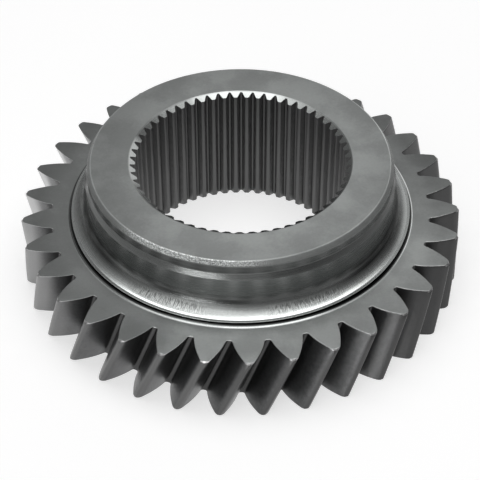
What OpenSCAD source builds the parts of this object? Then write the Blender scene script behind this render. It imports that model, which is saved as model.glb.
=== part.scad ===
// Helical transmission gear: a toothed rim, a hub standing on one side of it
// and a splined bore right through, all one piece of hardened steel.
// Millimetres, +Z up. The origin is on the bore's axis, in the plane of the
// lower gear face, which the gear stands on.

/* [Gear teeth] */
// Number of helical teeth round the rim
teeth = 33; // [32:1:38]
// Normal module, which sets the pitch of the teeth
module_n = 5; // [4.9:0.05:5.6]
// Helix angle at the pitch circle, right-handed
helix = 21.2; // [15:0.1:28]
// Normal pressure angle of the flanks
pressure = 25; // [22:0.5:26]
// Width of the toothed rim, between its two faces
face_w = 30; // [24:0.5:40]
// Height of a tooth outside the pitch circle
addendum = 5.7; // [4.5:0.1:6.2]
// Depth of a tooth space inside the pitch circle
dedendum = 7.5; // [6:0.1:8]
// Radius where a flank runs into the root of the space
root_fillet = 1; // [0.6:0.05:1.1]
// Depth of the break between a flank and the tip land
tip_break = 0.8; // [0.3:0.05:1]
// Chamfer round both ends of the tip cylinder
end_chamfer = 0.8; // [0.3:0.1:1.5]

/* [Hub] */
// Height of the whole gear, from the lower face to the top of the hub
total_h = 57; // [50:0.5:70]
// Diameter of the short land at the top of the hub
land_d = 129.6; // [120:0.1:131]
// Radial width of the chamfer round the hub's top
top_chamfer_w = 1.5; // [0.5:0.1:3]
// Height of the chamfer round the hub's top
top_chamfer_h = 2.1; // [0.5:0.1:3]
// Height of the short land
land_h = 3.7; // [2:0.1:5]
// Diameter at the lower edge of the tapered band under the land
band_d = 131.8; // [131.5:0.1:134]
// Height of the tapered band
band_h = 2.8; // [1:0.1:4]
// Diameter of the neck between the band and the cove
neck_d = 131.2; // [124:0.1:131.4]
// Radius of the cove that flares from the neck to the foot
cove_r = 8.7; // [7.5:0.1:11]

/* [Foot of the hub] */
// Diameter of the foot that the cove ends on
foot_d = 145.4; // [142:0.1:147]
// Height of the foot above the gear face
foot_h = 2; // [1.8:0.1:3]
// Width of the flat ring left on top of the foot
foot_land = 1.1; // [0.5:0.1:2]
// Fillet between the foot and the gear face
foot_fillet = 1.7; // [0.5:0.1:1.7]

/* [Splined bore] */
// Number of teeth of the internal involute spline
spline_teeth = 57; // [52:1:58]
// Module of the spline, 16 to the inch
spline_module = 1.5875; // [1.55:0.0025:1.6]
// Pressure angle of the spline
spline_pressure = 30; // [28:0.5:32]
// Flat left at the bottom of each spline groove
groove_flat = 0.5; // [0.3:0.05:0.7]
// Radial width of the chamfer at both ends of the bore, from the tooth crests
bore_chamfer_w = 2.85; // [2.4:0.05:3.4]
// Height of the chamfer at both ends of the bore
bore_chamfer_h = 1.6; // [0.8:0.05:2]

/* [Hidden] */
steel = [0.45, 0.46, 0.47];
full_turn = 360;
// Segments of a round edge
round_steps = 180;
// Reach of a cutter past the surface that it cuts
over = 1;
// Straight steps along a flank of the gear teeth, and along their helix
flank_steps = 3;
helix_steps = 3;
// Straight steps along a flank of the spline, and round a root fillet
spline_steps = 2;
fillet_steps = 2;

// Transverse pressure angle and the radii of the gear teeth
pressure_t = atan(tan(pressure) / cos(helix));
pitch_r = teeth * module_n / cos(helix) / 2;
base_r = pitch_r * cos(pressure_t);
tip_r = pitch_r + addendum;
root_r = pitch_r - dedendum;
// Turn of a tooth for each millimetre of height
turn_per_mm = tan(helix) / pitch_r * 180 / PI;
// Direction of the first tooth at the upper gear face
first_tooth = 130.37;

// Radii of the spline, with a fillet root
spline_pitch_r = spline_teeth * spline_module / 2;
spline_base_r = spline_pitch_r * cos(spline_pressure);
crest_r = spline_pitch_r - spline_module / 2;
groove_r = spline_pitch_r + 0.9 * spline_module;
// Direction of the first spline groove
first_groove = 1.05;

// Radii and heights of the hub's turned outline
land_r = land_d / 2;
band_r = band_d / 2;
neck_r = neck_d / 2;
foot_r = foot_d / 2;
land_top = total_h - top_chamfer_h;
land_bottom = land_top - land_h;
band_bottom = land_bottom - band_h;
foot_top = face_w + foot_h;
cove_end_r = foot_r - foot_land;
cove_end = acos(1 - (cove_end_r - neck_r) / cove_r);
cove_z = foot_top + cove_r * sin(cove_end);

// Involute of an angle in degrees, itself in degrees
function involute(a) = tan(a) * 180 / PI - a;

// Angle of an involute at a radius
function angle_at(r, base) = acos(base / r);

// Half the angle of a space between two teeth at a radius
function half_space(r, base, at_pitch, count) =
    full_turn / count / 4 - involute(at_pitch) + involute(angle_at(r, base));

// Point at a radius and an angle
function polar(r, a) = [r * cos(a), r * sin(a)];

// One side of a tooth space of the gear, from the root outwards
function space_side() =
    let (
        r_c = root_r + root_fillet,
        lean = angle_at(r_c, base_r),
        a_c = half_space(r_c, base_r, pressure_t, teeth)
            - asin(root_fillet / cos(lean) / r_c),
        centre = polar(r_c, a_c),
        flank_from = r_c - root_fillet * sin(lean),
        flank_to = tip_r - tip_break,
        a_to = half_space(flank_to, base_r, pressure_t, teeth),
        a_tip = half_space(tip_r, base_r, pressure_t, teeth)
            + tip_break / 2 / tip_r * 180 / PI,
        past = over / 10,
        a_past = a_tip + (a_tip - a_to) * past / tip_break
    )
    [
        for (i = [0:fillet_steps - 1])
            centre + polar(root_fillet, a_c + 180 - i / fillet_steps * (90 - lean)),
        for (i = [0:flank_steps])
            let (r = flank_from + (flank_to - flank_from) * i / flank_steps)
            polar(r, half_space(r, base_r, pressure_t, teeth)),
        polar(tip_r + past, a_past),
        polar(tip_r + over, a_past)
    ];

// The points of a list mirrored over X, in reverse order
function mirrored(points) =
    [for (i = [len(points) - 1:-1:0]) [points[i].x, -points[i].y]];

// Point turned about the axis and lifted to a height
function lifted(p, a, z) =
    [p.x * cos(a) - p.y * sin(a), p.x * sin(a) + p.y * cos(a), z];

// One tooth space swept along the helix, past both gear faces
module tooth_space() {
    side = space_side();
    section = concat(mirrored(side), side);
    n = len(section);
    low = -over;
    rise = (face_w + 2 * over) / helix_steps;
    points = [
        for (k = [0:helix_steps])
            let (z = low + k * rise)
            for (p = section) lifted(p, (z - face_w) * turn_per_mm, z)
    ];
    walls = [
        for (k = [0:helix_steps - 1])
            for (i = [0:n - 1])
                let (
                    a = k * n + i,
                    b = k * n + (i + 1) % n
                )
                each [[a, b, a + n], [b, b + n, a + n]]
    ];
    floor_cap = [
        for (i = [0:n / 2 - 2])
            each [[i, n - 1 - i, i + 1], [i + 1, n - 1 - i, n - 2 - i]]
    ];
    top_cap = [
        for (f = floor_cap)
            [f[0] + helix_steps * n, f[2] + helix_steps * n, f[1] + helix_steps * n]
    ];
    polyhedron(points, concat(floor_cap, walls, top_cap));
}

// Turned outline of the blank, as a half section
module blank_section() {
    chamfer_r = crest_r + bore_chamfer_w;
    difference() {
        polygon([
            [chamfer_r, 0],
            [tip_r - end_chamfer, 0],
            [tip_r, end_chamfer],
            [tip_r, face_w - end_chamfer],
            [tip_r - end_chamfer, face_w],
            [foot_r + foot_fillet, face_w],
            [foot_r + foot_fillet, face_w + foot_fillet],
            [foot_r, face_w + foot_fillet],
            [foot_r, foot_top],
            [cove_end_r, foot_top],
            [cove_end_r, cove_z],
            [neck_r, cove_z],
            [neck_r, band_bottom],
            [band_r, band_bottom],
            [land_r, land_bottom],
            [land_r, land_top],
            [land_r - top_chamfer_w, total_h],
            [chamfer_r, total_h],
            [crest_r, total_h - bore_chamfer_h],
            [crest_r, bore_chamfer_h]
        ]);
        translate([neck_r + cove_r, cove_z])
            circle(r = cove_r, $fn = round_steps);
        translate([foot_r + foot_fillet, face_w + foot_fillet])
            circle(r = foot_fillet, $fn = round_steps);
    }
}

// One groove of the spline, from inside the crests to its narrow bottom
module spline_groove() {
    from_r = crest_r - over / 2;
    to_r = groove_r - groove_flat / 2;
    side = [
        for (i = [0:spline_steps])
            let (
                r = from_r + (to_r - from_r) * i / spline_steps,
                space = half_space(r, spline_base_r, spline_pressure, spline_teeth)
            )
            polar(r, full_turn / spline_teeth / 2 - space),
        [groove_r, groove_flat / 2]
    ];
    polygon(concat(mirrored(side), side));
}

// All the grooves, past both ends of the bore
module spline() {
    translate([0, 0, -over])
        linear_extrude(height = total_h + 2 * over)
            for (i = [0:spline_teeth - 1])
                rotate(first_groove + i * full_turn / spline_teeth)
                    spline_groove();
}

module gear() {
    color(steel)
        difference() {
            rotate_extrude($fn = round_steps) blank_section();
            spline();
            for (i = [0:teeth - 1])
                rotate(first_tooth + (i + 0.5) * full_turn / teeth)
                    tooth_space();
        }
}

gear();
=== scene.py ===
import math

import bmesh
import bpy
from mathutils import Matrix, Vector


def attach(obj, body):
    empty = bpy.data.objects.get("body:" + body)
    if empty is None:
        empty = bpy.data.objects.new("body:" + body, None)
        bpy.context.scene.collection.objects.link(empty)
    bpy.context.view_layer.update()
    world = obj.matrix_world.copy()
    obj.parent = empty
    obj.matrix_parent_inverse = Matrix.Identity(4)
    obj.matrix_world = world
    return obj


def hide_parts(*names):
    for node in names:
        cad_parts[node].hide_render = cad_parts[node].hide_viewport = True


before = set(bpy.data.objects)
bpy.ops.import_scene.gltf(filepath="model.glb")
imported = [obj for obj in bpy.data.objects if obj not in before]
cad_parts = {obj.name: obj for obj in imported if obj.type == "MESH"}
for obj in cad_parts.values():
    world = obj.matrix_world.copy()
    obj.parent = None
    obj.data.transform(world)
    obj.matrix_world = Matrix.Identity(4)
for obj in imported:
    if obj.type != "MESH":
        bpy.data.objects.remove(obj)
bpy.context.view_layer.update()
print("frame loaded:", sorted(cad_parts))

# Sizes are in millimetres and degrees here, and the finished mesh is scaled to metres.
perMetre = 1000.0
weld = 0.0005         # points closer than this are one point
seamWeld = 0.002      # and so are these, where one tooth or groove meets the next
toothedRim = {
    "teeth": 33,
    "normalModule": 5.0,
    "helixAngle": 21.2,
    "pressureAngle": 25.0,
    "faceWidth": 30.0,
    "addendum": 5.7,
    "dedendum": 7.5,
    "rootFillet": 1.0,
    "tipRound": 1.3,      # radial depth at which the flank starts to turn in to the tip
    "tipRelief": 0.4,     # how much thinner each side of the tooth is at its tip
    "tipRoundRun": 0.6,   # width on the tip over which the rounding runs out
    "endChamfer": 0.8,    # cut off the tips at the upper face
    "lowerChamfer": 0.35,  # and at the lower face
    "edgeBreak": 0.2,     # small break between the faces and the flanks
    "firstTooth": 130.37,
    "flankSteps": 9,
    "filletSteps": 5,
    "helixSteps": 9,
    "ringSteps": 11,      # steps of the turned surfaces for each tooth
    "backRing": 76.0,     # radius of a ring on the lower face
}

hubTurning = {
    "height": 57.0,
    "footRadius": 72.7,
    "footTop": 32.0,
    "footLand": 1.1,
    "footFillet": 1.7,
    "reliefTop": 31.72,   # thin relief groove just under the foot's rim
    "reliefBottom": 30.95,
    "reliefDepth": 0.75,
    "coveRadius": 8.7,
    "coveSteps": 18,
    "neckRadius": 65.6,
    "bandRadius": 65.9,
    "bandBottom": 48.4,
    "landRadius": 64.8,
    "landBottom": 51.2,
    "landTop": 54.9,
    "topRadius": 63.3,
}

splinedBore = {
    "teeth": 57,
    "module": 1.5875,
    "pressureAngle": 30.0,
    "grooveFlat": 0.5,
    "chamferWidth": 2.85,       # at the hub's end, from the crests
    "chamferHeight": 1.6,
    "lowerBreakWidth": 0.6,     # small break at the lower end
    "lowerBreakHeight": 0.3,
    "firstGroove": 1.05,
    "flankSteps": 4,
    "crestRound": 0.3,
}


def involute(angle):
    return math.tan(angle) - angle


def halfSpace(radius, baseRadius, pitchPressure, count):
    return math.pi / 2 / count - involute(pitchPressure) + involute(math.acos(baseRadius / radius))


def polar(radius, angle):
    return Vector((radius * math.cos(angle), radius * math.sin(angle), 0))


def onlyVerts(geometry):
    return [g for g in geometry if isinstance(g, bmesh.types.BMVert)]


def edgesAmong(verts):
    members = set(verts)
    found = {e for v in verts for e in v.link_edges if e.verts[0] in members and e.verts[1] in members}
    return list(found)


def addChain(mesh, points):
    verts = [mesh.verts.new(p) for p in points]
    for first, second in zip(verts, verts[1:]):
        mesh.edges.new((first, second))
    return verts


def extrudeChain(mesh, edges):
    made = bmesh.ops.extrude_edge_only(mesh, edges=edges)["geom"]
    verts = onlyVerts(made)
    return verts, edgesAmong(verts)


def bend(start, corner, end, t):
    # a point of the curve that turns from start to end inside the corner
    return start * (1 - t) ** 2 + corner * 2 * t * (1 - t) + end * t ** 2


def mirrorChain(mesh, chain):
    # adds the other half of a tooth or groove, across the X axis
    bmesh.ops.mirror(mesh, geom=chain + edgesAmong(chain), matrix=Matrix.Identity(4),
                     merge_dist=weld, axis="Y")


def turnAbout(mesh, verts, angle):
    bmesh.ops.rotate(mesh, cent=(0, 0, 0), verts=verts, matrix=Matrix.Rotation(angle, 3, "Z"))


def spinAbout(mesh, geometry, angle, steps, duplicate=False):
    bmesh.ops.spin(mesh, geom=geometry, cent=(0, 0, 0), axis=(0, 0, 1), dvec=(0, 0, 0), angle=angle,
                   steps=steps, use_duplicate=duplicate, use_merge=False, use_normal_flip=False)


def repeatRound(mesh, count):
    whole = mesh.verts[:] + mesh.edges[:] + mesh.faces[:]
    spinAbout(mesh, whole, 2 * math.pi * (count - 1) / count, count - 1, True)
    bmesh.ops.remove_doubles(mesh, verts=mesh.verts[:], dist=seamWeld)


def toothOutline(rim, sizes):
    # half of one tooth, from the middle of the space beside it to the middle of its tip
    half = math.pi / rim["teeth"]
    count = rim["teeth"]
    filletRadius = sizes["rootRadius"] + rim["rootFillet"]
    lean = math.acos(sizes["baseRadius"] / filletRadius)
    filletAngle = (halfSpace(filletRadius, sizes["baseRadius"], sizes["pressure"], count)
                   - math.asin(rim["rootFillet"] / math.cos(lean) / filletRadius))
    points = [polar(sizes["rootRadius"], 0)]
    centre = polar(filletRadius, filletAngle)
    for i in range(rim["filletSteps"]):
        turn = filletAngle + math.pi - i / rim["filletSteps"] * (math.pi / 2 - lean)
        points.append(centre + polar(rim["rootFillet"], turn))
    flankFrom = filletRadius - rim["rootFillet"] * math.sin(lean)
    flankTo = sizes["tipRadius"] - rim["tipRound"]
    for i in range(rim["flankSteps"] + 1):
        radius = flankFrom + (flankTo - flankFrom) * i / rim["flankSteps"]
        points.append(polar(radius, halfSpace(radius, sizes["baseRadius"], sizes["pressure"], count)))
    start = points[-1]
    cornerAngle = (halfSpace(sizes["tipRadius"], sizes["baseRadius"], sizes["pressure"], count)
                   + rim["tipRelief"] / sizes["tipRadius"])
    corner = polar(sizes["tipRadius"], cornerAngle)
    end = polar(sizes["tipRadius"], cornerAngle + rim["tipRoundRun"] / sizes["tipRadius"])
    points += [bend(start, corner, end, t) for t in (0.25, 0.5, 0.75, 1.0)]
    points.append(polar(sizes["tipRadius"], half))
    return [Matrix.Rotation(-half, 3, "Z") @ p for p in points]


def softCorners(corners, support=0.12):
    # the corners of a turned outline, each (radius, height, rounding), with the rounding put in
    points = [Vector(corners[0][:2])]
    for before, here, after in zip(corners, corners[1:], corners[2:]):
        a, b, c = Vector(before[:2]), Vector(here[:2]), Vector(after[:2])
        if here[2] <= 0:
            points.append(b)
            continue
        inward, outward = (a - b).normalized(), (c - b).normalized()
        start, end = b + inward * here[2], b + outward * here[2]
        points.append(start + inward * support)
        points += [bend(start, b, end, t) for t in (0, 0.33, 0.67, 1.0)]
        points.append(end + outward * support)
    points.append(Vector(corners[-1][:2]))
    return points


def hubOutline(rim, hub):
    foot, fillet = hub["footRadius"], hub["footFillet"]
    centre = Vector((foot + fillet, rim["faceWidth"] + fillet))
    lowest = math.asin((centre.y - hub["reliefBottom"]) / fillet)
    points = []
    for i in range(11):
        turn = math.pi / 2 - (math.pi / 2 - lowest) * i / 10
        points.append(centre - Vector((math.cos(turn), math.sin(turn))) * fillet)
    wall = points[-1].x
    coveCentre = hub["neckRadius"] + hub["coveRadius"]
    coveEnd = math.acos((coveCentre - foot + hub["footLand"]) / hub["coveRadius"])
    coveHeight = hub["footTop"] + hub["coveRadius"] * math.sin(coveEnd)
    ring = softCorners([
        (wall, hub["reliefBottom"], 0),
        (wall, hub["reliefBottom"], 0.04),
        (foot - hub["reliefDepth"], hub["reliefBottom"], 0.04),
        (foot - hub["reliefDepth"], hub["reliefTop"], 0.04),
        (foot, hub["reliefTop"], 0.03),
        (foot, hub["footTop"], 0.09),
        (foot - hub["footLand"], hub["footTop"], 0),
    ], 0.03)
    points += ring[2:]
    for i in range(1, hub["coveSteps"] + 1):
        turn = coveEnd * (1 - i / hub["coveSteps"])
        points.append(Vector((coveCentre - hub["coveRadius"] * math.cos(turn),
                              coveHeight - hub["coveRadius"] * math.sin(turn))))
    top = softCorners([
        (hub["neckRadius"], coveHeight, 0),
        (hub["neckRadius"], hub["bandBottom"] - 0.1, 0.1),
        (hub["bandRadius"], hub["bandBottom"], 0.12),
        (hub["landRadius"], hub["landBottom"], 0.3),
        (hub["landRadius"], hub["landTop"], 0.3),
        (hub["topRadius"], hub["height"], 0.4),
        (hub["topRadius"] - 1.5, hub["height"], 0),
    ])
    points += top[1:]
    return [Vector((p.x, 0, p.y)) for p in points]


def makeToothedBlank(rim, hub):
    # one tooth with its share of the hub and of both faces, then all of them round the axis
    helix = math.radians(rim["helixAngle"])
    pitchRadius = rim["teeth"] * rim["normalModule"] / math.cos(helix) / 2
    sizes = {"pressure": math.atan(math.tan(math.radians(rim["pressureAngle"])) / math.cos(helix)),
             "tipRadius": pitchRadius + rim["addendum"],
             "rootRadius": pitchRadius - rim["dedendum"]}
    sizes["baseRadius"] = pitchRadius * math.cos(sizes["pressure"])
    turnPerMm = math.tan(helix) / pitchRadius
    width, chamfer, lowerChamfer = rim["faceWidth"], rim["endChamfer"], rim["lowerChamfer"]
    pitch = 2 * math.pi / rim["teeth"]
    mesh = bmesh.new()

    # the next row of points along the helix, with the tips cut back by a chamfer where one is given
    def row(edges, toHeight, fromHeight, cut=0):
        verts, made = extrudeChain(mesh, edges)
        bmesh.ops.translate(mesh, vec=(0, 0, toHeight - fromHeight), verts=verts)
        turnAbout(mesh, verts, (toHeight - fromHeight) * turnPerMm)
        limit = sizes["tipRadius"] - cut
        for v in verts:
            radius = v.co.xy.length
            if cut and radius > limit:
                v.co.xy *= limit / radius
        return verts, made

    mirrorChain(mesh, addChain(mesh, toothOutline(rim, sizes)))
    chain = mesh.verts[:]
    start = math.radians(rim["firstTooth"]) - (width - lowerChamfer) * turnPerMm
    turnAbout(mesh, chain, start)
    bmesh.ops.translate(mesh, vec=(0, 0, lowerChamfer), verts=chain)
    first = mesh.edges[:]
    lowerVerts = row(first, 0, lowerChamfer, lowerChamfer)[0]
    edges, height = first, lowerChamfer
    for i in range(rim["helixSteps"]):
        nextHeight = lowerChamfer + (width - chamfer - lowerChamfer) * (i + 1) / rim["helixSteps"]
        edges = row(edges, nextHeight, height)[1]
        height = nextHeight
    upperVerts = row(edges, width, height, chamfer)[0]
    for f in mesh.faces:
        f.material_index = 1

    # the hub's outline is spun through the same pitch as the tooth
    topTurn = math.radians(rim["firstTooth"]) - pitch / 2
    outline = [Matrix.Rotation(topTurn, 3, "Z") @ p for p in hubOutline(rim, hub)]
    profile = addChain(mesh, outline)
    spinAbout(mesh, profile + edgesAmong(profile), pitch, rim["ringSteps"])

    def ringAt(radius, height):
        return [v for v in mesh.verts
                if abs(v.co.z - height) < 1e-5 and abs(v.co.xy.length - radius) < 1e-3]

    arc = ringAt(outline[0].xy.length, width)
    backTurn = topTurn - width * turnPerMm
    seed = mesh.verts.new(polar(rim["backRing"], backTurn))
    spinAbout(mesh, [seed], pitch, rim["ringSteps"])
    backArc = ringAt(rim["backRing"], 0)

    # each face between the teeth's outline and a ring is one flat polygon a tooth
    for verts, ring, middle in ((upperVerts, arc, topTurn + pitch / 2),
                                (lowerVerts, backArc, backTurn + pitch / 2)):
        def offAxis(v):
            return (math.atan2(v.co.y, v.co.x) - middle + math.pi) % (2 * math.pi) - math.pi
        loop = edgesAmong(verts) + edgesAmong(ring)
        for pick in (min, max):
            loop.append(mesh.edges.new((pick(verts, key=offAxis), pick(ring, key=offAxis))))
        bmesh.ops.edgeloop_fill(mesh, edges=loop)

    repeatRound(mesh, rim["teeth"])
    bmesh.ops.recalc_face_normals(mesh, faces=mesh.faces[:])
    edgesToBreak = [e for e in mesh.edges if len(e.link_faces) == 2 and e.calc_face_angle() > 0.6
                    and min(e.verts[0].co.xy.length, e.verts[1].co.xy.length) > rim["backRing"] + 1
                    and (all(abs(v.co.z - width) < 1e-4 for v in e.verts)
                         or all(abs(v.co.z) < 1e-4 for v in e.verts))]
    bmesh.ops.bevel(mesh, geom=edgesToBreak, offset=rim["edgeBreak"], offset_type="OFFSET", segments=2,
                    profile=0.5, affect="EDGES", clamp_overlap=True, material=-1)
    return mesh


def makeSplinedBore(bore, hub):
    # one groove of the spline, then all of them, then the chamfer at the top and the break below
    count, module = bore["teeth"], bore["module"]
    pitchRadius = count * module / 2
    pressure = math.radians(bore["pressureAngle"])
    baseRadius = pitchRadius * math.cos(pressure)
    crest = pitchRadius - module / 2
    bottom = pitchRadius + 0.9 * module
    half = math.pi / count

    def grooveHalf(radius):
        return half - halfSpace(radius, baseRadius, pressure, count)

    low = bottom - bore["grooveFlat"] / 2
    wide = grooveHalf(low)
    points = [polar(bottom, 0), polar(bottom, wide * 0.3), polar(bottom - 0.03, wide * 0.6),
              polar(bottom - 0.11, wide * 0.86)]
    high = crest + bore["crestRound"]
    for i in range(bore["flankSteps"] + 1):
        radius = low + (high - low) * i / bore["flankSteps"]
        points.append(polar(radius, grooveHalf(radius)))
    start, corner = points[-1], polar(crest, grooveHalf(crest))
    end = polar(crest, grooveHalf(crest) + bore["crestRound"] / crest)
    points += [bend(start, corner, end, t) for t in (0.5, 1.0)]
    points.append(polar(crest, half))
    mesh = bmesh.new()
    mirrorChain(mesh, addChain(mesh, points))
    turnAbout(mesh, mesh.verts[:], math.radians(bore["firstGroove"]))
    repeatRound(mesh, count)
    ringRadius = crest + bore["chamferWidth"]

    def depth(v, width, height):
        return max(0.0, height * (1 - (v.co.xy.length - crest) / width))

    sectionEdges = mesh.edges[:]
    for v in mesh.verts[:]:
        v.co.z = depth(v, bore["lowerBreakWidth"], bore["lowerBreakHeight"])
    topVerts, topEdges = extrudeChain(mesh, sectionEdges)
    for v in topVerts:
        v.co.z = hub["height"] - depth(v, bore["chamferWidth"], bore["chamferHeight"])
    for f in mesh.faces:
        f.material_index = 2
    for edges, height in ((sectionEdges, 0), (topEdges, hub["height"])):
        verts, made = extrudeChain(mesh, edges)
        for v in verts:
            v.co.xy *= ringRadius / v.co.xy.length
            v.co.z = height
        for e in made:
            for f in e.link_faces:
                f.material_index = 0
    return mesh


def joinMeshes(first, second):
    # copies the second bmesh into the first
    holder = bpy.data.meshes.new("holder")
    second.to_mesh(holder)
    second.free()
    first.from_mesh(holder)
    bpy.data.meshes.remove(holder)


def boundaryRing(mesh, height):
    return [e for e in mesh.edges if e.is_boundary and all(abs(v.co.z - height) < 1e-3 for v in e.verts)]


def makeGear(rim, hub, bore):
    mesh = makeToothedBlank(rim, hub)
    joinMeshes(mesh, makeSplinedBore(bore, hub))
    for height, way in ((0, -1), (hub["height"], 1)):
        filled = bmesh.ops.triangle_fill(mesh, use_beauty=True, use_dissolve=False, normal=(0, 0, way),
                                         edges=boundaryRing(mesh, height))
        for f in filled["geom"]:
            if isinstance(f, bmesh.types.BMFace):
                f.material_index = 0
    bmesh.ops.remove_doubles(mesh, verts=mesh.verts[:], dist=weld)
    bmesh.ops.recalc_face_normals(mesh, faces=mesh.faces[:])
    flat = {f for f in mesh.faces if abs(f.normal.z) > 0.99999}
    for f in mesh.faces:
        f.smooth = True
    for e in mesh.edges:
        sides = e.link_faces
        turned = len(sides) == 2 and e.calc_face_angle() > math.radians(38)
        e.smooth = not (turned or (len(sides) == 2 and (sides[0] in flat) != (sides[1] in flat)))
    openEdges = sum(1 for e in mesh.edges if not e.is_manifold)
    bmesh.ops.scale(mesh, vec=(1 / perMetre,) * 3, verts=mesh.verts[:])
    data = bpy.data.meshes.new("helicalGear")
    mesh.to_mesh(data)
    mesh.free()
    gear = bpy.data.objects.new("helicalGear", data)
    bpy.context.scene.collection.objects.link(gear)
    data.calc_loop_triangles()
    print("gear:", len(data.vertices), "points,", len(data.loop_triangles), "triangles,",
          openEdges, "open edges")
    return gear


class Signal:
    # one output socket, with arithmetic that adds Math nodes behind it
    def __init__(self, tree, socket):
        self.tree, self.socket = tree, socket

    def add(self, kind, inputs=None, output=0, **settings):
        made = self.tree.nodes.new(kind)
        for name, value in settings.items():
            setattr(made, name, value)
        for name, value in (inputs or {}).items():
            if isinstance(value, Signal):
                self.tree.links.new(value.socket, made.inputs[name])
            else:
                made.inputs[name].default_value = value
        return Signal(self.tree, made.outputs[output])

    def calc(self, operation, *values):
        return self.add("ShaderNodeMath", dict(enumerate(values)), operation=operation)

    def __add__(self, other):
        return self.calc("ADD", self, other)

    def __radd__(self, other):
        return self.calc("ADD", other, self)

    def __sub__(self, other):
        return self.calc("SUBTRACT", self, other)

    def __rsub__(self, other):
        return self.calc("SUBTRACT", other, self)

    def __mul__(self, other):
        return self.calc("MULTIPLY", self, other)

    def __rmul__(self, other):
        return self.calc("MULTIPLY", other, self)

    def __truediv__(self, other):
        return self.calc("DIVIDE", self, other)

    def __rtruediv__(self, other):
        return self.calc("DIVIDE", other, self)

    def step(self, low, high, atLow=0.0, atHigh=1.0):
        return self.add("ShaderNodeMapRange", {"Value": self, "From Min": low, "From Max": high,
                                               "To Min": atLow, "To Max": atHigh},
                        interpolation_type="SMOOTHSTEP")

    def band(self, start, full, fade, end):
        # 1 between full and fade, falling to 0 at start and end
        return self.step(start, full) * self.step(end, fade)

    def blend(self, first, second):
        return self.add("ShaderNodeMix", {"Factor": self, 6: first, 7: second}, 2, data_type="RGBA")

    def times(self, other):
        # one colour multiplied by another
        return self.add("ShaderNodeMix", {"Factor": 1.0, 6: self, 7: other}, 2, data_type="RGBA",
                        blend_type="MULTIPLY")


def grey(value, warm=0.0, green=0.0):
    return (value * (1 + warm - green), value, value * (1 - warm - green), 1)


class SteelFinish:
    # a metal material with the place of each point on the gear: radius, height and direction
    def __init__(self, name):
        self.material = bpy.data.materials.new(name)
        self.material.use_nodes = True
        self.tree = self.material.node_tree
        self.shader = self.tree.nodes["Principled BSDF"]
        self.shader.inputs["Metallic"].default_value = 1.0
        place = self.tree.nodes.new("ShaderNodeTexCoord")
        self.place = Signal(self.tree, place.outputs["Object"])
        split = self.tree.nodes.new("ShaderNodeSeparateXYZ")
        self.tree.links.new(place.outputs["Object"], split.inputs[0])
        x, y, z = (Signal(self.tree, split.outputs[i]) * perMetre for i in range(3))
        self.x, self.y, self.height = x, y, z
        self.radius = (x * x + y * y).calc("SQRT", x * x + y * y)
        self.cosine, self.sine = x / self.radius, y / self.radius

    def towards(self, degrees):
        # 1 on the side of the gear that faces this way, falling to -1 on the far side
        turn = math.radians(degrees)
        return self.cosine * math.cos(turn) + self.sine * math.sin(turn)

    def around(self, degrees, start, full, tone):
        # 1, changing to this tone as the gear's side turns this way
        return self.towards(degrees).step(start, full, 1.0, tone)

    def noise(self, x, y, z, scale=1.0, detail=3.0, roughness=0.55):
        at = self.place.add("ShaderNodeCombineXYZ", {"X": x, "Y": y, "Z": z})
        return self.place.add("ShaderNodeTexNoise", {"Vector": at, "Scale": scale, "Detail": detail,
                                                     "Roughness": roughness})

    def finish(self, colour, roughness, bumps):
        tree, shader = self.tree, self.shader
        tree.links.new(colour.socket, shader.inputs["Base Color"])
        tree.links.new(roughness.socket, shader.inputs["Roughness"])
        normal = None
        for height, distance, strength in bumps:
            inputs = {"Height": height, "Distance": distance, "Strength": strength}
            if normal:
                inputs["Normal"] = normal
            normal = self.place.add("ShaderNodeBump", inputs)
        tree.links.new(normal.socket, shader.inputs["Normal"])
        return self.material


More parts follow.
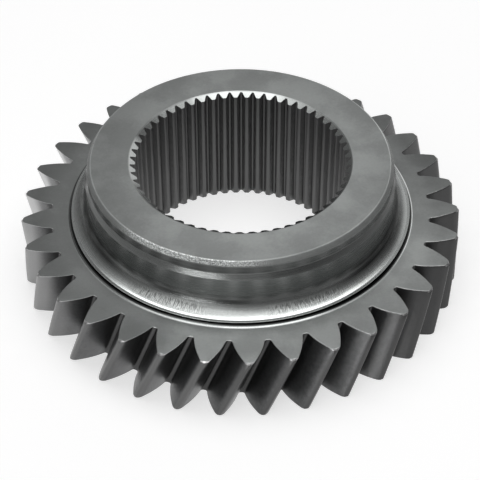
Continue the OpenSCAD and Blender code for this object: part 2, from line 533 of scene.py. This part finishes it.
turnedTones = {
    # height in millimetres, and the share of the full tone there: painted light and shade along the hub
    "tones": [(0.0, 0.92), (30.02, 0.92), (30.1, 1.5), (30.3, 1.3), (30.5, 0.35), (30.85, 0.12),
              (31.75, 0.08), (31.9, 1.7), (32.8, 1.5), (33.6, 1.1), (34.5, 0.75), (35.7, 0.7),
              (36.4, 0.5), (37.0, 0.3), (37.6, 0.22), (38.8, 0.3), (40.2, 0.44), (48.0, 0.47),
              (48.6, 0.3), (51.5, 0.24), (54.6, 0.26), (55.2, 0.68), (57.0, 0.79)],
    "topHeight": 57.0,
    "fullTone": 1.7,
    "dark": 0.35,
    "light": 0.47,
    "tint": (-0.01, 0.025),     # how warm and how green the steel is
    "faceRoughness": 0.4,
    "wallRoughness": 0.27,
    "chamfer": (55.0, 56.9),
    # heights where a painted patch of light or shade starts, is full, fades and ends, then its places round
    # the hub: a direction in degrees, where it starts and is full (1 faces that way, -1 the other), and the
    # tone there
    "paintedPatches": {
        "sidesOfFillet": ((30.03, 30.06, 30.9, 31.1),
                          [(0, -0.25, -0.75, 0.3), (0, 0.75, 0.95, 2.2), (-47, 0.93, 0.985, 0.5)]),
        "rightOfRoot": ((30.12, 30.2, 30.9, 31.1), [(-25, 0.7, 0.93, 0.2)]),
        "sidesOfFlare": ((31.85, 31.95, 36.2, 36.8), [(0, -0.62, -0.85, 0.5), (0, 0.8, 0.95, 0.7)]),
        "rightOfTurn": ((32.2, 33.4, 36.2, 36.8), [(-15, 0.7, 0.95, 0.6)]),
        "sidesOfCove": ((34.2, 35.4, 37.4, 38.6), [(0, -0.7, -0.85, 0.4), (0, 0.55, 0.8, 0.25)]),
        "leftOfCove": ((36.0, 36.4, 37.4, 38.2), [(-105, 0.93, 0.985, 0.4)]),
        "leftOfBand": ((45.0, 46.0, 49.6, 50.4), [(0, -0.9, -0.97, 0.55)]),
        "rightOfLand": ((51.0, 51.5, 54.5, 54.8), [(-25, 0.5, 0.9, 1.3)]),
    },
    # direction, start, full and change of tone for painted light and shade on the taper band and the bore's
    # edge: these add up where they overlap
    "taperHeights": (48.2, 48.6, 51.0, 51.5),
    "taper": [(-25, 0.45, 0.85, -0.4), (-90, 0.975, 0.995, 0.45)],
    "boreEdge": [(180, 0.93, 0.975, 0.9), (140, 0.9, 0.95, -0.4), (88, 0.9, 0.97, 0.3)],
}


def paintedShadingRamp(steel, tones):
    # painted light and shade along the hub, from its foot to its top: painted highlights on the fillet and
    # the cove's flare, painted shade in the relief groove, the neck and the land
    ramp = steel.tree.nodes.new("ShaderNodeValToRGB")
    stops = ramp.color_ramp.elements
    top = tones["topHeight"]
    for place, tone in tones["tones"]:
        stop = stops[0] if place == 0 else stops[-1] if place == top else stops.new(place / top)
        stop.position = place / top
        stop.color = grey(tone / tones["fullTone"])
    steel.tree.links.new((steel.height / top).socket, ramp.inputs["Fac"])
    return Signal(steel.tree, ramp.outputs["Color"])


def changes(steel, places, change=0.0):
    # the changes of tone at these places round the gear, added up
    for degrees, start, full, amount in places:
        change = steel.towards(degrees).step(start, full) * amount + change
    return change


def turnedSteel(tones):
    # the turned faces and the hub: rings from the tool, streaks in the cove, a rough chamfer with painted
    # glints, and painted light and shade along and round the hub
    steel = SteelFinish("turnedSteel")
    radius, height = steel.radius, steel.height
    rings = steel.noise(radius * 2.2, height * 2.2, steel.cosine * 0.6, 1.0, 4.0, 0.7)
    fineRings = steel.noise(radius * 9.0, height * 9.0, steel.sine * 0.8, 1.0, 2.0, 0.5)
    clouds = steel.noise(steel.x, steel.y, height, 0.05, 4.0, 0.55)
    mottle = steel.noise(steel.x, steel.y, height, 0.9, 4.0, 0.65)
    onFaces = height.step(30.3, 30.1) + height.step(56.6, 56.9)
    cloudTone = (clouds.step(0.35, 0.65, 0.9, 1.09) - 1.0) * (onFaces * 0.7 + 0.3) + 1.0
    shade = cloudTone * mottle.step(0.3, 0.7, 0.97, 1.03)
    colour = shade.step(0.85, 1.15).blend(grey(tones["dark"], *tones["tint"]),
                                          grey(tones["light"], *tones["tint"]))
    # painted light and shade along the hub
    colour = colour.times(paintedShadingRamp(steel, tones))

    # streaks down the cove, where it runs out to the foot
    streaks = steel.noise(steel.cosine * 170, steel.sine * 170, height * 0.6, 1.0, 2.0, 0.6)
    leftPart = steel.cosine.band(-0.66, -0.56, -0.28, -0.18)
    rightPart = steel.cosine.band(0.12, 0.25, 0.52, 0.62)
    inCove = height.band(32.3, 33.2, 34.4, 35.6) * (leftPart + rightPart + 0.08)
    streakTone = (streaks.step(0.35, 0.65, 0.6, 1.4) - 1.0) * inCove + 1.0

    # the chamfer at the top was left rough by the tool and is bumped; its colour has painted glints on the
    # front left and painted shade round the rest
    low, high = tones["chamfer"]
    onChamfer = height.band(low - 0.15, low + 0.1, high - 0.1, high + 0.1) * radius.step(62.0, 62.6)
    sparkle = steel.noise(steel.x * 2.2, steel.y * 2.2, height * 2.2, 1.0, 2.0, 0.6)
    glintSide = steel.towards(-110).step(0.84, 0.985)
    paintedGlintTone = (((sparkle.step(0.4, 0.62, 0.65, 2.1) - 1.0) * glintSide + (glintSide - 1.0) * 0.35)
                   * onChamfer + 1.0)

    # painted shade: the rim's face and the top darker at their sides, then the painted light and shade at
    # the places listed above
    sideOfRim = (steel.x.step(0.0, -60.0, 1.0, 0.5) * steel.x.step(15.0, 70.0, 1.0, 0.8)
                 * steel.around(40, 0.5, 0.95, 0.6))
    leftOfTop = steel.x.step(-10.0, -62.0, 1.0, 0.8)
    paintedSideShading = (((sideOfRim - 1.0) * height.band(29.0, 29.5, 30.04, 30.12) + 1.0)
             * ((leftOfTop - 1.0) * height.step(56.8, 56.95) + 1.0)
             * (changes(steel, tones["taper"]) * height.band(*tones["taperHeights"]) + 1.0))
    # painted light and shade at each listed place round the hub
    for heights, places in tones["paintedPatches"].values():
        tone = steel.around(*places[0])
        for place in places[1:]:
            tone = tone * steel.around(*place)
        paintedSideShading = paintedSideShading * ((tone - 1.0) * height.band(*heights) + 1.0)

    # a painted highlight where the top face turns into its chamfer, and painted light and shade on the
    # bore's edge, which is darker on the right and brighter on the far left
    paintedEdgeHighlight = (radius.step(62.9, 63.2) * height.step(56.5, 56.7)
            * (steel.towards(35).step(0.75, 0.95) + 0.5) + 1.0)
    boreTone = changes(steel, tones["boreEdge"], steel.x.step(12.0, 32.0) * -0.45)
    boreEdge = radius.step(47.6, 47.0) * boreTone + 1.0
    outward = radius.step(62.0, 50.0, 1.0, 1.12) * radius.step(77.0, 89.0, 1.0, 0.78)
    gain = streakTone * paintedGlintTone * paintedSideShading * paintedEdgeHighlight * boreEdge * outward * tones["fullTone"]
    colour = colour.times(gain.add("ShaderNodeCombineColor", {"Red": gain, "Green": gain, "Blue": gain}))

    onWall = height.step(30.01, 30.1) * height.step(56.9, 56.6)
    roughness = (tones["faceRoughness"] + onWall * (tones["wallRoughness"] - tones["faceRoughness"])
                 + (fineRings - 0.5) * 0.06 + onChamfer * 0.2 + (streaks - 0.5) * inCove * 0.15)
    return steel.finish(colour, roughness, [(rings, 0.01, 0.018), (fineRings, 0.002, 0.04),
                                            (sparkle * onChamfer, 0.02, 0.3), (streaks * inCove, 0.01, 0.1)])


flankTones = {
    "flank": (0.085, 0.115),    # darker and lighter grain
    # the lower flanks are lighter: painted light
    "lowFlank": (0.12, 0.15),
    "warm": -0.01,
    # painted shade in the roots
    "root": 0.08,
    "tip": (0.09, 0.13),        # and on the front left, where it is painted light
    "edge": 0.5,                # a painted highlight on the break along the upper face
    # painted highlights on the tips' end chamfers, the brightest at the front
    "corner": 0.36,
    "paintedCornerGlint": 1.0,
    # radii between which each of these comes in
    "flankRadii": (84.0, 93.0),
    "rootRadii": (84.5, 81.3),
    "tipRadii": (93.1, 93.7),
    "cornerRadii": (92.9, 93.2),
    "outerRadii": (86.0, 91.0),
    # direction, start, full, share and tone of painted light on the outer flanks on the left, and of painted
    # shade on the flanks on the right
    "leftFlanks": [(172, 0.55, 0.95, 0.8, 0.3), (152, 0.82, 0.97, 1.0, 0.5)],
    "rightFlanks": (0, 0.35, 0.8, 0.8, 0.07),
    "roughness": 0.3,
}


def groundFlankSteel(tones):
    # the tooth flanks: a fine grain, rounded tips, painted shade in the roots and on the right flanks,
    # painted light on the lower flanks, the front-left tips and the left flanks, and a painted highlight
    # along the upper face's edge and its corners
    steel = SteelFinish("groundFlankSteel")
    grain = steel.noise(steel.x, steel.y, steel.height, 0.6, 4.0, 0.6)
    fine = steel.noise(steel.x * 6, steel.y * 6, steel.height * 0.8, 1.0, 3.0, 0.5)
    tip = steel.radius.step(*tones["tipRadii"])
    edge = steel.height.step(29.72, 29.86) * grain.step(0.3, 0.6, 0.4, 1.0)
    # painted shade in the roots
    root = steel.radius.step(*tones["rootRadii"])
    # painted highlights on the end chamfers at the tips, the brightest at the front
    corner = steel.radius.step(*tones["cornerRadii"]) * steel.height.step(29.2, 29.5)
    paintedCornerGlint = steel.towards(-99).step(0.984, 0.997) * steel.height.step(29.4, 29.65)
    flank, low = (grain.step(0.3, 0.7).blend(*(grey(tone, tones["warm"]) for tone in tones[part]))
                  for part in ("flank", "lowFlank"))
    # painted light on the lower flanks
    colour = steel.radius.step(*tones["flankRadii"]).blend(low, flank)
    colour = root.blend(colour, grey(tones["root"]))
    # painted light on the tips at the front left
    tipTone = steel.towards(-130).step(0.7, 0.95).blend(*(grey(tone) for tone in tones["tip"]))
    colour = tip.blend(colour, tipTone)
    outer = steel.radius.step(*tones["outerRadii"])
    # painted light on the outer flanks at the left
    for degrees, start, full, share, tone in tones["leftFlanks"]:
        lit = steel.towards(degrees).step(start, full) * outer * share
        colour = lit.blend(colour, grey(tone))
    # painted shade on the flanks at the right
    degrees, start, full, share, tone = tones["rightFlanks"]
    colour = (steel.towards(degrees).step(start, full) * share).blend(colour, grey(tone))
    # painted highlight along the upper face's edge
    colour = edge.blend(colour, grey(tones["edge"]))
    colour = corner.blend(colour, paintedCornerGlint.blend(grey(tones["corner"]), grey(tones["paintedCornerGlint"])))
    roughness = tones["roughness"] + (grain - 0.5) * 0.08 + root * 0.06
    return steel.finish(colour, roughness, [(fine, 0.01, 0.08)])


splineTones = {
    "groove": (0.2, 0.25),      # darker and lighter grain
    "sides": 0.125,             # painted shade: the two sides of the bore are darker than its back
    # painted shade on the crests and in the groove bottoms
    "crest": 0.13,
    "bottom": 0.12,
    "crestRadii": (45.1, 44.5),
    "bottomRadii": (45.9, 46.4),
    "roughness": 0.46,
}


def broachedSteel(tones):
    # the spline, cut by a broach: darker, with lines along the bore, and painted shade on its sides, crests
    # and groove bottoms
    steel = SteelFinish("broachedSteel")
    lines = steel.noise(steel.x * 5, steel.y * 5, steel.height * 0.12, 1.0, 3.0, 0.6)
    grain = steel.noise(steel.x, steel.y, steel.height, 0.5, 3.0, 0.6)
    crest = steel.radius.step(*tones["crestRadii"])
    bottom = steel.radius.step(*tones["bottomRadii"])
    base = grain.step(0.3, 0.7).blend(*(grey(tone) for tone in tones["groove"]))
    # painted shade on the two sides of the bore
    base = steel.towards(90).step(0.92, 0.5).blend(base, grey(tones["sides"]))
    # painted shade on the crests and in the groove bottoms
    colour = bottom.blend(crest.blend(base, grey(tones["crest"])), grey(tones["bottom"]))
    roughness = tones["roughness"] + (lines - 0.5) * 0.2
    return steel.finish(colour, roughness, [(lines, 0.01, 0.1)])


studio = {
    "floorColour": 0.6,
    "floorGlow": 0.6,
    "worldLight": 0.1,    # what the world adds to matt surfaces
    "skyLow": 0.16,       # what eye and metal see of it, at the horizon
    "skyRise": 0.43,      # and how much more overhead
    "skyRight": 0.62,     # share of it that is left at the right
    "lamps": [
        # name, place, size, radiance
        ("overhead", (0.03, 0.1, 1.15), (1.45, 0.85), 2.0),
        ("frontTop", (-0.1, -0.64, 0.95), (1.1, 0.6), 0.5),
        ("frontLeftFill", (-0.42, -0.72, 0.7), (0.6, 0.6), 0.7),
        ("frontLeftLow", (-0.43, -0.86, 0.06), (0.32, 0.08), 19.0),
        ("backRight", (0.68, 0.96, 0.42), (0.8, 0.8), 0.4),
        ("backSweep", (0.42, 1.05, 0.95), (1.1, 0.7), 0.12),
    ],
    "aim": (0.0, 0.0, 0.04),
}

camera = {
    "place": (-0.000245, -0.58337, 0.53743),
    "looks": (0.0, 0.7424, -0.6700),
    "roll": -0.121,
    "lens": 134.4,
}


def seenByEye(tree):
    # 1 for what the camera sees itself or in metal and glass
    path = tree.nodes.new("ShaderNodeLightPath")
    eye = Signal(tree, path.outputs["Is Camera Ray"])
    for name in ("Is Glossy Ray", "Is Transmission Ray"):
        eye = eye.calc("MAXIMUM", eye, Signal(tree, path.outputs[name]))
    return eye


def makeStudio(studio):
    world = bpy.data.worlds.new("studio")
    bpy.context.scene.world = world
    world.use_nodes = True
    tree = world.node_tree
    background = tree.nodes["Background"]
    background.inputs["Color"].default_value = (1, 1, 1, 1)
    facing = tree.nodes.new("ShaderNodeTexCoord")
    split = tree.nodes.new("ShaderNodeSeparateXYZ")
    tree.links.new(facing.outputs["Generated"], split.inputs[0])
    aside, upward = Signal(tree, split.outputs["X"]), Signal(tree, split.outputs["Z"])
    sky = ((upward.calc("MAXIMUM", upward, 0.0) * studio["skyRise"] + studio["skyLow"])
           * aside.step(0.3, 0.8, 1.0, studio["skyRight"]))
    strength = studio["worldLight"] + seenByEye(tree) * (sky - studio["worldLight"])
    tree.links.new(strength.socket, background.inputs["Strength"])
    for name, place, size, radiance in studio["lamps"]:
        data = bpy.data.lights.new(name, "AREA")
        data.shape = "RECTANGLE"
        data.size, data.size_y = size
        data.energy = radiance * math.pi * size[0] * size[1]
        lamp = bpy.data.objects.new(name, data)
        bpy.context.scene.collection.objects.link(lamp)
        lamp.location = place
        lamp.rotation_euler = (Vector(studio["aim"]) - Vector(place)).to_track_quat("-Z", "Y").to_euler()


def makeFloor(studio):
    mesh = bmesh.new()
    bmesh.ops.create_circle(mesh, cap_ends=True, segments=96, radius=4.0)
    data = bpy.data.meshes.new("studioFloor")
    mesh.to_mesh(data)
    mesh.free()
    floor = bpy.data.objects.new("studioFloor", data)
    floor.location = (0, 0, -0.0002)
    bpy.context.scene.collection.objects.link(floor)
    material = bpy.data.materials.new("paleFloor")
    material.use_nodes = True
    tree = material.node_tree
    shader = tree.nodes["Principled BSDF"]
    shader.inputs["Base Color"].default_value = grey(studio["floorColour"])
    shader.inputs["Roughness"].default_value = 0.9
    shader.inputs["Specular IOR Level"].default_value = 0.0
    shader.inputs["Emission Color"].default_value = (1, 1, 1, 1)
    glow = seenByEye(tree) * studio["floorGlow"]
    tree.links.new(glow.socket, shader.inputs["Emission Strength"])
    data.materials.append(material)


def makeCamera(camera):
    data = bpy.data.cameras.new("photoCamera")
    data.lens = camera["lens"]
    data.sensor_width = 36.0
    data.clip_start, data.clip_end = 0.01, 20
    seen = bpy.data.objects.new("photoCamera", data)
    bpy.context.scene.collection.objects.link(seen)
    turn = Vector(camera["looks"]).to_track_quat("-Z", "Y").to_matrix()
    turn = turn @ Matrix.Rotation(math.radians(camera["roll"]), 3, "Z")
    seen.matrix_world = Matrix.Translation(camera["place"]) @ turn.to_4x4()
    bpy.context.scene.camera = seen


makeCamera(camera)
makeStudio(studio)
makeFloor(studio)
print("studio and camera made")
gear = makeGear(toothedRim, hubTurning, splinedBore)
for material in (turnedSteel(turnedTones), groundFlankSteel(flankTones), broachedSteel(splineTones)):
    gear.data.materials.append(material)
print("finishes made")
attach(gear, "root")
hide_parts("gear")

bpy.context.scene.view_settings.view_transform = "Standard"
